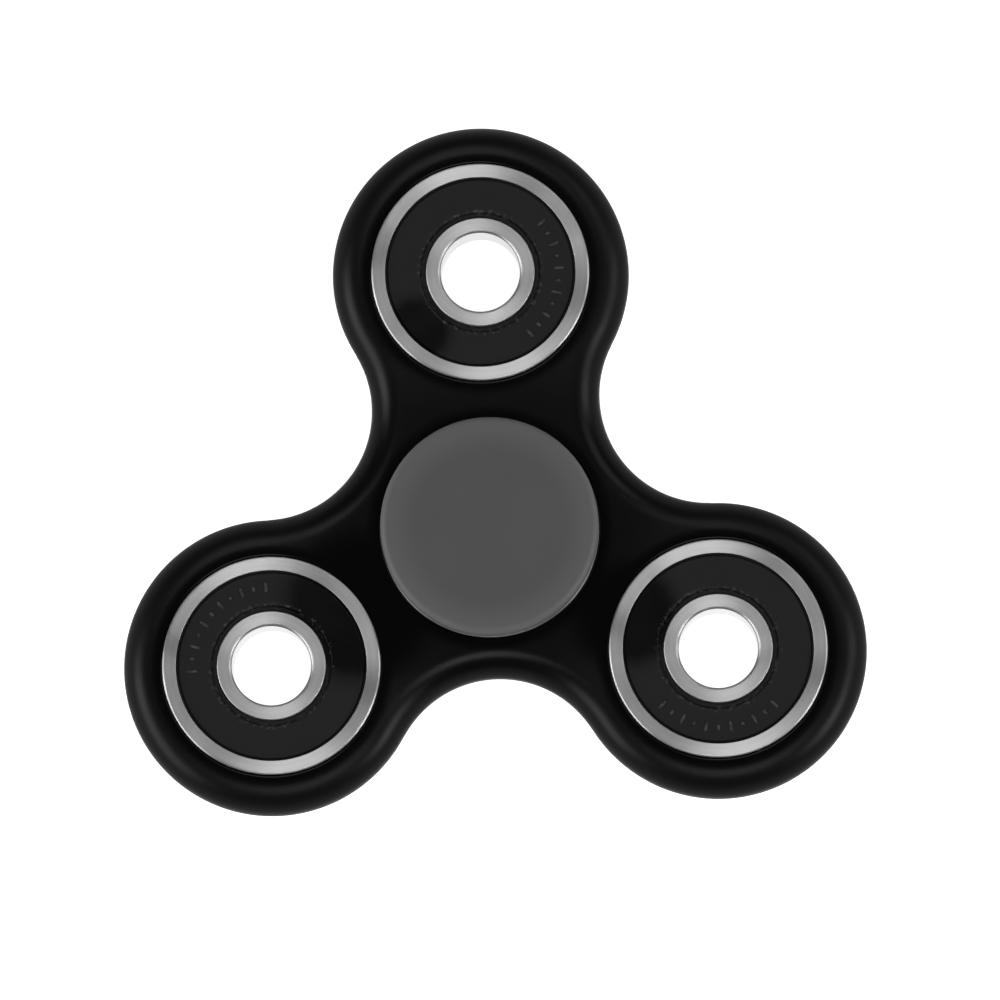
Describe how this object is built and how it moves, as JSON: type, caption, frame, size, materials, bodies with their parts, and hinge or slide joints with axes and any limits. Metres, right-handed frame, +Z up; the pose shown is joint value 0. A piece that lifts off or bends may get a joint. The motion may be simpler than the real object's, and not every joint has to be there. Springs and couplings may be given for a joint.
{
  "type": "fidget spinner",
  "caption": "Three-lobed hand spinner: moulded frame turning on a centre ball bearing between two finger caps, with a sealed open-bore bearing in each lobe.",
  "frame": {"origin": "on the spin axis, at the lower cap's flat face, where the spinner rests on a table", "axes": "+Z up along the spin axis, out of the upper cap; +Y towards lobe 1"},
  "size_m": [0.075, 0.069, 0.0136],
  "materials": {
    "frame_abs": "moulded, polished black",
    "cap_abs": "satin moulded grey",
    "race_steel": "ground bearing steel",
    "ball_steel": "polished",
    "cage_nylon": "natural moulded nylon",
    "seal_rubber": "moulded black nitrile rubber",
    "washer_steel": "rolled sheet"
  },
  "bodies": {
    "grip": {"upper_cap": "cap_abs", "lower_cap": "cap_abs", "centre_inner_ring": "race_steel"},
    "rotor": {"spinner_frame": "frame_abs", "centre_outer_ring": "race_steel", "lobe_1_outer_ring": "race_steel", "lobe_2_outer_ring": "race_steel", "lobe_3_outer_ring": "race_steel", "centre_upper_seal": "seal_rubber", "centre_upper_seal_washer": "washer_steel", "centre_lower_seal": "seal_rubber", "centre_lower_seal_washer": "washer_steel", "lobe_1_upper_seal": "seal_rubber", "lobe_1_upper_seal_washer": "washer_steel", "lobe_1_lower_seal": "seal_rubber", "lobe_1_lower_seal_washer": "washer_steel", "lobe_2_upper_seal": "seal_rubber", "lobe_2_upper_seal_washer": "washer_steel", "lobe_2_lower_seal": "seal_rubber", "lobe_2_lower_seal_washer": "washer_steel", "lobe_3_upper_seal": "seal_rubber", "lobe_3_upper_seal_washer": "washer_steel", "lobe_3_lower_seal": "seal_rubber", "lobe_3_lower_seal_washer": "washer_steel"},
    "centre_ball_cage": {"centre_cage": "cage_nylon"},
    "centre_rolling_ball_1": {"centre_ball_1": "ball_steel"},
    "centre_rolling_ball_2": {"centre_ball_2": "ball_steel"},
    "centre_rolling_ball_3": {"centre_ball_3": "ball_steel"},
    "centre_rolling_ball_4": {"centre_ball_4": "ball_steel"},
    "centre_rolling_ball_5": {"centre_ball_5": "ball_steel"},
    "centre_rolling_ball_6": {"centre_ball_6": "ball_steel"},
    "centre_rolling_ball_7": {"centre_ball_7": "ball_steel"},
    "lobe_1_hub": {"lobe_1_inner_ring": "race_steel"},
    "lobe_1_ball_cage": {"lobe_1_cage": "cage_nylon"},
    "lobe_1_rolling_ball_1": {"lobe_1_ball_1": "ball_steel"},
    "lobe_1_rolling_ball_2": {"lobe_1_ball_2": "ball_steel"},
    "lobe_1_rolling_ball_3": {"lobe_1_ball_3": "ball_steel"},
    "lobe_1_rolling_ball_4": {"lobe_1_ball_4": "ball_steel"},
    "lobe_1_rolling_ball_5": {"lobe_1_ball_5": "ball_steel"},
    "lobe_1_rolling_ball_6": {"lobe_1_ball_6": "ball_steel"},
    "lobe_1_rolling_ball_7": {"lobe_1_ball_7": "ball_steel"},
    "lobe_2_hub": {"lobe_2_inner_ring": "race_steel"},
    "lobe_2_ball_cage": {"lobe_2_cage": "cage_nylon"},
    "lobe_2_rolling_ball_1": {"lobe_2_ball_1": "ball_steel"},
    "lobe_2_rolling_ball_2": {"lobe_2_ball_2": "ball_steel"},
    "lobe_2_rolling_ball_3": {"lobe_2_ball_3": "ball_steel"},
    "lobe_2_rolling_ball_4": {"lobe_2_ball_4": "ball_steel"},
    "lobe_2_rolling_ball_5": {"lobe_2_ball_5": "ball_steel"},
    "lobe_2_rolling_ball_6": {"lobe_2_ball_6": "ball_steel"},
    "lobe_2_rolling_ball_7": {"lobe_2_ball_7": "ball_steel"},
    "lobe_3_hub": {"lobe_3_inner_ring": "race_steel"},
    "lobe_3_ball_cage": {"lobe_3_cage": "cage_nylon"},
    "lobe_3_rolling_ball_1": {"lobe_3_ball_1": "ball_steel"},
    "lobe_3_rolling_ball_2": {"lobe_3_ball_2": "ball_steel"},
    "lobe_3_rolling_ball_3": {"lobe_3_ball_3": "ball_steel"},
    "lobe_3_rolling_ball_4": {"lobe_3_ball_4": "ball_steel"},
    "lobe_3_rolling_ball_5": {"lobe_3_ball_5": "ball_steel"},
    "lobe_3_rolling_ball_6": {"lobe_3_ball_6": "ball_steel"},
    "lobe_3_rolling_ball_7": {"lobe_3_ball_7": "ball_steel"}
  },
  "joints": [
    {"name": "rotor_spin", "type": "hinge", "parent": "grip", "child": "rotor", "pos_m": [0, 0, 0.0068], "axis": [0, 0, 1], "continuous": true},
    {"name": "centre_cage_spin", "type": "hinge", "parent": "grip", "child": "centre_ball_cage", "pos_m": [0, 0, 0.0068], "axis": [0, 0, 1], "continuous": true},
    {"name": "centre_ball_1_spin", "type": "hinge", "parent": "centre_ball_cage", "child": "centre_rolling_ball_1", "pos_m": [0.0075, 0, 0.0068], "axis": [0, 0, 1], "continuous": true},
    {"name": "centre_ball_2_spin", "type": "hinge", "parent": "centre_ball_cage", "child": "centre_rolling_ball_2", "pos_m": [0.00468, 0.00586, 0.0068], "axis": [0, 0, 1], "continuous": true},
    {"name": "centre_ball_3_spin", "type": "hinge", "parent": "centre_ball_cage", "child": "centre_rolling_ball_3", "pos_m": [-0.00167, 0.00731, 0.0068], "axis": [0, 0, 1], "continuous": true},
    {"name": "centre_ball_4_spin", "type": "hinge", "parent": "centre_ball_cage", "child": "centre_rolling_ball_4", "pos_m": [-0.00676, 0.00325, 0.0068], "axis": [0, 0, 1], "continuous": true},
    {"name": "centre_ball_5_spin", "type": "hinge", "parent": "centre_ball_cage", "child": "centre_rolling_ball_5", "pos_m": [-0.00676, -0.00325, 0.0068], "axis": [0, 0, 1], "continuous": true},
    {"name": "centre_ball_6_spin", "type": "hinge", "parent": "centre_ball_cage", "child": "centre_rolling_ball_6", "pos_m": [-0.00167, -0.00731, 0.0068], "axis": [0, 0, 1], "continuous": true},
    {"name": "centre_ball_7_spin", "type": "hinge", "parent": "centre_ball_cage", "child": "centre_rolling_ball_7", "pos_m": [0.00468, -0.00586, 0.0068], "axis": [0, 0, 1], "continuous": true},
    {"name": "lobe_1_ring_spin", "type": "hinge", "parent": "rotor", "child": "lobe_1_hub", "pos_m": [0, 0.026, 0.0068], "axis": [0, 0, 1], "continuous": true},
    {"name": "lobe_1_cage_spin", "type": "hinge", "parent": "rotor", "child": "lobe_1_ball_cage", "pos_m": [0, 0.026, 0.0068], "axis": [0, 0, 1], "continuous": true},
    {"name": "lobe_1_ball_1_spin", "type": "hinge", "parent": "lobe_1_ball_cage", "child": "lobe_1_rolling_ball_1", "pos_m": [0.0075, 0.026, 0.0068], "axis": [0, 0, 1], "continuous": true},
    {"name": "lobe_1_ball_2_spin", "type": "hinge", "parent": "lobe_1_ball_cage", "child": "lobe_1_rolling_ball_2", "pos_m": [0.00468, 0.03186, 0.0068], "axis": [0, 0, 1], "continuous": true},
    {"name": "lobe_1_ball_3_spin", "type": "hinge", "parent": "lobe_1_ball_cage", "child": "lobe_1_rolling_ball_3", "pos_m": [-0.00167, 0.03331, 0.0068], "axis": [0, 0, 1], "continuous": true},
    {"name": "lobe_1_ball_4_spin", "type": "hinge", "parent": "lobe_1_ball_cage", "child": "lobe_1_rolling_ball_4", "pos_m": [-0.00676, 0.02925, 0.0068], "axis": [0, 0, 1], "continuous": true},
    {"name": "lobe_1_ball_5_spin", "type": "hinge", "parent": "lobe_1_ball_cage", "child": "lobe_1_rolling_ball_5", "pos_m": [-0.00676, 0.02275, 0.0068], "axis": [0, 0, 1], "continuous": true},
    {"name": "lobe_1_ball_6_spin", "type": "hinge", "parent": "lobe_1_ball_cage", "child": "lobe_1_rolling_ball_6", "pos_m": [-0.00167, 0.01869, 0.0068], "axis": [0, 0, 1], "continuous": true},
    {"name": "lobe_1_ball_7_spin", "type": "hinge", "parent": "lobe_1_ball_cage", "child": "lobe_1_rolling_ball_7", "pos_m": [0.00468, 0.02014, 0.0068], "axis": [0, 0, 1], "continuous": true},
    {"name": "lobe_2_ring_spin", "type": "hinge", "parent": "rotor", "child": "lobe_2_hub", "pos_m": [-0.02252, -0.013, 0.0068], "axis": [0, 0, 1], "continuous": true},
    {"name": "lobe_2_cage_spin", "type": "hinge", "parent": "rotor", "child": "lobe_2_ball_cage", "pos_m": [-0.02252, -0.013, 0.0068], "axis": [0, 0, 1], "continuous": true},
    {"name": "lobe_2_ball_1_spin", "type": "hinge", "parent": "lobe_2_ball_cage", "child": "lobe_2_rolling_ball_1", "pos_m": [-0.01502, -0.013, 0.0068], "axis": [0, 0, 1], "continuous": true},
    {"name": "lobe_2_ball_2_spin", "type": "hinge", "parent": "lobe_2_ball_cage", "child": "lobe_2_rolling_ball_2", "pos_m": [-0.01784, -0.00714, 0.0068], "axis": [0, 0, 1], "continuous": true},
    {"name": "lobe_2_ball_3_spin", "type": "hinge", "parent": "lobe_2_ball_cage", "child": "lobe_2_rolling_ball_3", "pos_m": [-0.02419, -0.00569, 0.0068], "axis": [0, 0, 1], "continuous": true},
    {"name": "lobe_2_ball_4_spin", "type": "hinge", "parent": "lobe_2_ball_cage", "child": "lobe_2_rolling_ball_4", "pos_m": [-0.02927, -0.00975, 0.0068], "axis": [0, 0, 1], "continuous": true},
    {"name": "lobe_2_ball_5_spin", "type": "hinge", "parent": "lobe_2_ball_cage", "child": "lobe_2_rolling_ball_5", "pos_m": [-0.02927, -0.01625, 0.0068], "axis": [0, 0, 1], "continuous": true},
    {"name": "lobe_2_ball_6_spin", "type": "hinge", "parent": "lobe_2_ball_cage", "child": "lobe_2_rolling_ball_6", "pos_m": [-0.02419, -0.02031, 0.0068], "axis": [0, 0, 1], "continuous": true},
    {"name": "lobe_2_ball_7_spin", "type": "hinge", "parent": "lobe_2_ball_cage", "child": "lobe_2_rolling_ball_7", "pos_m": [-0.01784, -0.01886, 0.0068], "axis": [0, 0, 1], "continuous": true},
    {"name": "lobe_3_ring_spin", "type": "hinge", "parent": "rotor", "child": "lobe_3_hub", "pos_m": [0.02252, -0.013, 0.0068], "axis": [0, 0, 1], "continuous": true},
    {"name": "lobe_3_cage_spin", "type": "hinge", "parent": "rotor", "child": "lobe_3_ball_cage", "pos_m": [0.02252, -0.013, 0.0068], "axis": [0, 0, 1], "continuous": true},
    {"name": "lobe_3_ball_1_spin", "type": "hinge", "parent": "lobe_3_ball_cage", "child": "lobe_3_rolling_ball_1", "pos_m": [0.03002, -0.013, 0.0068], "axis": [0, 0, 1], "continuous": true},
    {"name": "lobe_3_ball_2_spin", "type": "hinge", "parent": "lobe_3_ball_cage", "child": "lobe_3_rolling_ball_2", "pos_m": [0.02719, -0.00714, 0.0068], "axis": [0, 0, 1], "continuous": true},
    {"name": "lobe_3_ball_3_spin", "type": "hinge", "parent": "lobe_3_ball_cage", "child": "lobe_3_rolling_ball_3", "pos_m": [0.02085, -0.00569, 0.0068], "axis": [0, 0, 1], "continuous": true},
    {"name": "lobe_3_ball_4_spin", "type": "hinge", "parent": "lobe_3_ball_cage", "child": "lobe_3_rolling_ball_4", "pos_m": [0.01576, -0.00975, 0.0068], "axis": [0, 0, 1], "continuous": true},
    {"name": "lobe_3_ball_5_spin", "type": "hinge", "parent": "lobe_3_ball_cage", "child": "lobe_3_rolling_ball_5", "pos_m": [0.01576, -0.01625, 0.0068], "axis": [0, 0, 1], "continuous": true},
    {"name": "lobe_3_ball_6_spin", "type": "hinge", "parent": "lobe_3_ball_cage", "child": "lobe_3_rolling_ball_6", "pos_m": [0.02085, -0.02031, 0.0068], "axis": [0, 0, 1], "continuous": true},
    {"name": "lobe_3_ball_7_spin", "type": "hinge", "parent": "lobe_3_ball_cage", "child": "lobe_3_rolling_ball_7", "pos_m": [0.02719, -0.01886, 0.0068], "axis": [0, 0, 1], "continuous": true}
  ],
  "couplings": [
    {"joint": "centre_cage_spin", "follows": "rotor_spin", "ratio": 0.6323},
    {"joint": "centre_ball_1_spin", "follows": "rotor_spin", "ratio": 1.7573},
    {"joint": "centre_ball_2_spin", "follows": "rotor_spin", "ratio": 1.7573},
    {"joint": "centre_ball_3_spin", "follows": "rotor_spin", "ratio": 1.7573},
    {"joint": "centre_ball_4_spin", "follows": "rotor_spin", "ratio": 1.7573},
    {"joint": "centre_ball_5_spin", "follows": "rotor_spin", "ratio": 1.7573},
    {"joint": "centre_ball_6_spin", "follows": "rotor_spin", "ratio": 1.7573},
    {"joint": "centre_ball_7_spin", "follows": "rotor_spin", "ratio": 1.7573},
    {"joint": "lobe_1_cage_spin", "follows": "lobe_1_ring_spin", "ratio": 0.3677},
    {"joint": "lobe_1_ball_1_spin", "follows": "lobe_1_ring_spin", "ratio": -1.7573},
    {"joint": "lobe_1_ball_2_spin", "follows": "lobe_1_ring_spin", "ratio": -1.7573},
    {"joint": "lobe_1_ball_3_spin", "follows": "lobe_1_ring_spin", "ratio": -1.7573},
    {"joint": "lobe_1_ball_4_spin", "follows": "lobe_1_ring_spin", "ratio": -1.7573},
    {"joint": "lobe_1_ball_5_spin", "follows": "lobe_1_ring_spin", "ratio": -1.7573},
    {"joint": "lobe_1_ball_6_spin", "follows": "lobe_1_ring_spin", "ratio": -1.7573},
    {"joint": "lobe_1_ball_7_spin", "follows": "lobe_1_ring_spin", "ratio": -1.7573},
    {"joint": "lobe_2_cage_spin", "follows": "lobe_2_ring_spin", "ratio": 0.3677},
    {"joint": "lobe_2_ball_1_spin", "follows": "lobe_2_ring_spin", "ratio": -1.7573},
    {"joint": "lobe_2_ball_2_spin", "follows": "lobe_2_ring_spin", "ratio": -1.7573},
    {"joint": "lobe_2_ball_3_spin", "follows": "lobe_2_ring_spin", "ratio": -1.7573},
    {"joint": "lobe_2_ball_4_spin", "follows": "lobe_2_ring_spin", "ratio": -1.7573},
    {"joint": "lobe_2_ball_5_spin", "follows": "lobe_2_ring_spin", "ratio": -1.7573},
    {"joint": "lobe_2_ball_6_spin", "follows": "lobe_2_ring_spin", "ratio": -1.7573},
    {"joint": "lobe_2_ball_7_spin", "follows": "lobe_2_ring_spin", "ratio": -1.7573},
    {"joint": "lobe_3_cage_spin", "follows": "lobe_3_ring_spin", "ratio": 0.3677},
    {"joint": "lobe_3_ball_1_spin", "follows": "lobe_3_ring_spin", "ratio": -1.7573},
    {"joint": "lobe_3_ball_2_spin", "follows": "lobe_3_ring_spin", "ratio": -1.7573},
    {"joint": "lobe_3_ball_3_spin", "follows": "lobe_3_ring_spin", "ratio": -1.7573},
    {"joint": "lobe_3_ball_4_spin", "follows": "lobe_3_ring_spin", "ratio": -1.7573},
    {"joint": "lobe_3_ball_5_spin", "follows": "lobe_3_ring_spin", "ratio": -1.7573},
    {"joint": "lobe_3_ball_6_spin", "follows": "lobe_3_ring_spin", "ratio": -1.7573},
    {"joint": "lobe_3_ball_7_spin", "follows": "lobe_3_ring_spin", "ratio": -1.7573}
  ]
}
